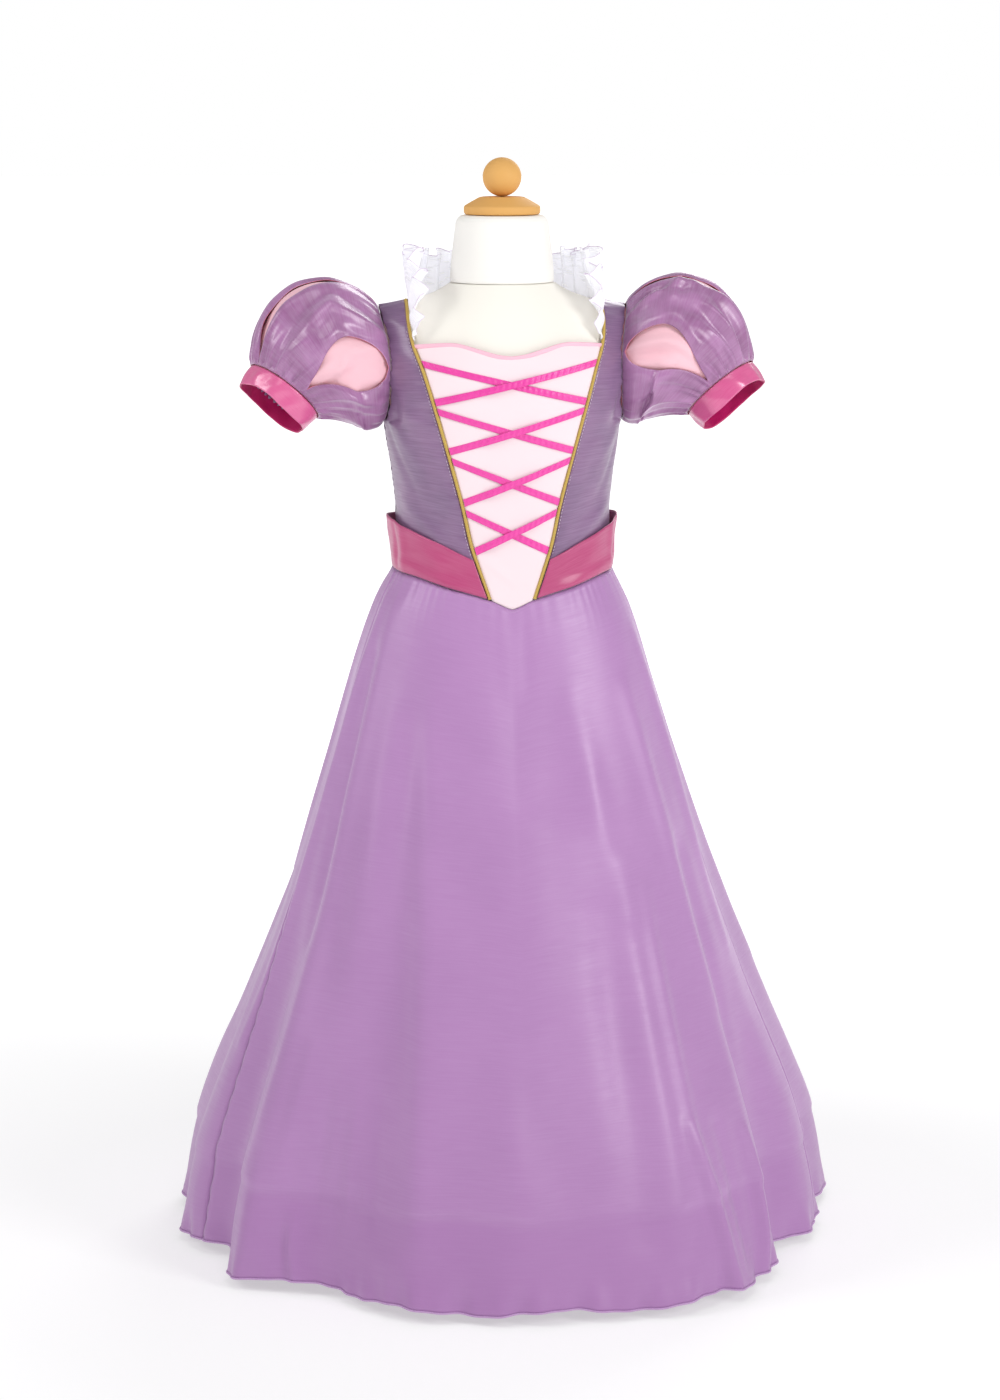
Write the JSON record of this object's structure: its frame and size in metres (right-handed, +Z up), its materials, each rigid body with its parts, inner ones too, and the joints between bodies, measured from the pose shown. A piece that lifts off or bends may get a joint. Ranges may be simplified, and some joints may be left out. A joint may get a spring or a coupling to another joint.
{
  "type": "princess costume dress on a limbless dress form",
  "caption": "Child's princess costume dress: laced front panel, slashed puff sleeves, sash, full pointed-waist skirt and neck ruffle, on a limbless dress form with a round foot.",
  "frame": {"origin": "on the floor, at the middle of the underside of the stand's round foot", "axes": "+Z is up, the dress faces -Y, +X is the wearer's left"},
  "size_m": [0.6326, 0.59, 1.0227],
  "materials": {
    "purple_satin": "bodice and sleeve satin, greyed purple, soft sheen",
    "lilac_satin": "skirt satin, lilac, fine crosswise slub, soft sheen",
    "pink_taffeta": "pink lining puff that shows through the slashes",
    "pale_pink": "matt pale pink stomacher",
    "hot_pink": "glossy hot pink cuff satin",
    "ribbon_pink": "ruched bright pink lacing ribbon",
    "rose_satin": "rose pink sash satin",
    "gold_cord": "metallic gold piping",
    "white_voile": "white voile, slightly sheer, small embroidered dots",
    "lining": "thin lilac lining",
    "jersey": "off-white cotton jersey over the form",
    "linen": "off-white linen on the neck of the form",
    "beech": "turned, varnished beech",
    "steel": "plain steel tube"
  },
  "bodies": {
    "root": {"bodice_back_left": "purple_satin", "bodice_back_right": "purple_satin", "bodice_front_left": "purple_satin", "bodice_front_right": "purple_satin", "cuff_left": "hot_pink", "cuff_right": "hot_pink", "form_cap": "beech", "form_knob": "beech", "form_neck": "linen", "form_torso": "jersey", "lace_1_over": "ribbon_pink", "lace_1_under": "ribbon_pink", "lace_2_over": "ribbon_pink", "lace_2_under": "ribbon_pink", "lace_3_over": "ribbon_pink", "lace_3_under": "ribbon_pink", "lace_4_over": "ribbon_pink", "lace_4_under": "ribbon_pink", "neck_ruffle": "white_voile", "piping_left": "gold_cord", "piping_right": "gold_cord", "puff_back_left": "purple_satin", "puff_back_right": "purple_satin", "puff_front_left": "purple_satin", "puff_front_right": "purple_satin", "sash_left": "rose_satin", "sash_right": "rose_satin", "skirt_back_left": "lilac_satin", "skirt_back_right": "lilac_satin", "skirt_front": "lilac_satin", "skirt_lining": "lining", "stand_foot": "beech", "stand_pole": "steel", "stomacher": "pale_pink", "under_puff_left": "pink_taffeta", "under_puff_right": "pink_taffeta"}
  },
  "joints": []
}
